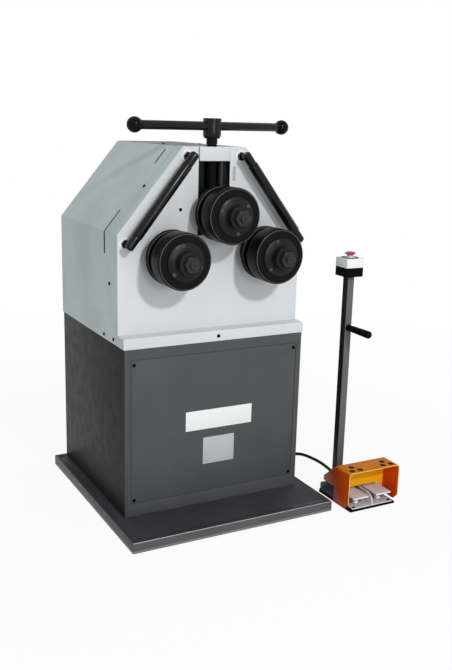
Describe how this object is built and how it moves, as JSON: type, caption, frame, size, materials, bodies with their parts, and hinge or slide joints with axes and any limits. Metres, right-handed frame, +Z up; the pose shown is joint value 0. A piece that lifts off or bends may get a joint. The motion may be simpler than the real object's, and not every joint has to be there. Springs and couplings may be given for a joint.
{
  "type": "profile bending machine",
  "caption": "Floor-standing roll bender for profiles: rolls on a housing over a cabinet, an upper roll set by a screw with a cross handle, a hooded foot switch and a post with a stop button.",
  "frame": {"origin": "on the floor, at the centre of the base tray's underside", "axes": "+Z up; +Y from the rolls to the back of the machine; +X to the right seen from the front, where the foot switch stands"},
  "size_m": [0.9845, 0.84, 1.303],
  "materials": {
    "cabinet_paint": "dark grey, fine textured paint",
    "mask_paint": "pale grey-white paint, smooth",
    "cover_paint": "grey-green paint, smooth",
    "black_steel": "turned and black oxidised",
    "bright_steel": "machined, lightly oiled",
    "dark_casting": "dark grey cast or welded steel",
    "motor_paint": "blue-grey enamel",
    "hood_paint": "orange, smooth and glossy",
    "pedal_metal": "pale grey, satin",
    "white_plastic": "white, fine grain",
    "black_plastic": "black, satin",
    "grey_plastic": "light grey enclosure",
    "red_plastic": "red, smooth",
    "post_paint": "mid grey paint",
    "cable_rubber": "black sheath, matt"
  },
  "bodies": {
    "machine": {"base_tray": "cabinet_paint", "cabinet_shell": "cabinet_paint", "front_panel": "cabinet_paint", "rear_panel": "cabinet_paint", "front_mask": "mask_paint", "housing_cover": "cover_paint", "rear_cover": "cover_paint", "front_frame_plate": "mask_paint", "rear_frame": "dark_casting", "bridge_block": "mask_paint", "left_guide_strip": "black_steel", "right_guide_strip": "black_steel", "left_bearing_cap": "black_steel", "right_bearing_cap": "black_steel", "gearbox": "dark_casting", "drive_motor": "motor_paint", "control_box": "grey_plastic", "left_guide_rod": "black_steel", "right_guide_rod": "black_steel", "cable_gland": "black_plastic", "pedal_base": "black_plastic", "tread_plate": "pedal_metal", "pedal_body": "dark_casting", "pedal_hood": "hood_paint", "post": "post_paint", "grip": "black_plastic", "stop_base": "black_plastic", "stop_cover": "white_plastic", "cable_entry": "cable_rubber", "cable_coil": "cable_rubber", "cable_run": "cable_rubber"},
    "carriage": {"carriage_block": "dark_casting"},
    "screw": {"lead_screw": "bright_steel", "handle_hub": "black_steel", "cross_bar": "black_steel", "left_knob": "black_plastic", "right_knob": "black_plastic"},
    "upper_roll": {"upper_shaft": "black_steel", "upper_roll_ring": "black_steel", "upper_roll_flange": "black_steel", "upper_clamp_hub": "black_steel", "upper_shaft_nut": "black_steel"},
    "left_roll": {"left_shaft": "black_steel", "left_roll_ring": "black_steel", "left_roll_flange": "black_steel", "left_clamp_hub": "black_steel", "left_shaft_nut": "black_steel", "left_drive_gear": "bright_steel"},
    "right_roll": {"right_shaft": "black_steel", "right_roll_ring": "black_steel", "right_roll_flange": "black_steel", "right_clamp_hub": "black_steel", "right_shaft_nut": "black_steel", "right_drive_gear": "bright_steel"},
    "pinion": {"pinion_shaft": "bright_steel"},
    "left_roller": {"left_guide_roller": "black_steel"},
    "right_roller": {"right_guide_roller": "black_steel"},
    "left_pedal_body": {"left_pedal": "pedal_metal"},
    "right_pedal_body": {"right_pedal": "pedal_metal"},
    "stop_button_body": {"stop_button": "red_plastic"}
  },
  "joints": [
    {"name": "screw_turn", "type": "hinge", "parent": "carriage", "child": "screw", "pos_m": [0, -0.1505, 1.24], "axis": [0, 0, 1], "range_deg": [-1320, 3600]},
    {"name": "carriage_travel", "type": "slide", "parent": "machine", "child": "carriage", "axis": [0, 0, 1], "range_m": [-0.0221, 0.0601]},
    {"name": "upper_roll_spin", "type": "hinge", "parent": "carriage", "child": "upper_roll", "pos_m": [0, -0.2835, 1.0125], "axis": [0, 1, 0], "continuous": true},
    {"name": "left_roll_spin", "type": "hinge", "parent": "machine", "child": "left_roll", "pos_m": [-0.16601, -0.2835, 0.88], "axis": [0, 1, 0], "continuous": true},
    {"name": "right_roll_spin", "type": "hinge", "parent": "machine", "child": "right_roll", "pos_m": [0.16601, -0.2835, 0.88], "axis": [0, 1, 0], "continuous": true},
    {"name": "pinion_spin", "type": "hinge", "parent": "machine", "child": "pinion", "pos_m": [0, -0.0135, 0.7961], "axis": [0, 1, 0], "continuous": true},
    {"name": "left_pedal_press", "type": "hinge", "parent": "machine", "child": "left_pedal_body", "pos_m": [0.462, -0.3235, 0.037], "axis": [1, 0, 0], "range_deg": [0, 10], "stiffness_Nm_per_rad": 4, "springref_deg": -20.05},
    {"name": "right_pedal_press", "type": "hinge", "parent": "machine", "child": "right_pedal_body", "pos_m": [0.558, -0.3235, 0.037], "axis": [1, 0, 0], "range_deg": [0, 10], "stiffness_Nm_per_rad": 4, "springref_deg": -20.05},
    {"name": "stop_press", "type": "slide", "parent": "machine", "child": "stop_button_body", "axis": [0, 0, 1], "range_m": [-0.004, 0], "stiffness_N_per_m": 3000, "springref_m": 0.004},
    {"name": "left_roller_spin", "type": "hinge", "parent": "machine", "child": "left_roller", "pos_m": [-0.19823, -0.2145, 1.054], "axis": [-0.6148, 0, -0.7887], "continuous": true},
    {"name": "right_roller_spin", "type": "hinge", "parent": "machine", "child": "right_roller", "pos_m": [0.19823, -0.2145, 1.054], "axis": [0.6148, 0, -0.7887], "continuous": true}
  ],
  "couplings": [
    {"joint": "carriage_travel", "follows": "screw_turn", "m_per_rad": 0.00095493},
    {"joint": "right_roll_spin", "follows": "left_roll_spin", "ratio": 1},
    {"joint": "pinion_spin", "follows": "left_roll_spin", "ratio": -1.8182}
  ]
}
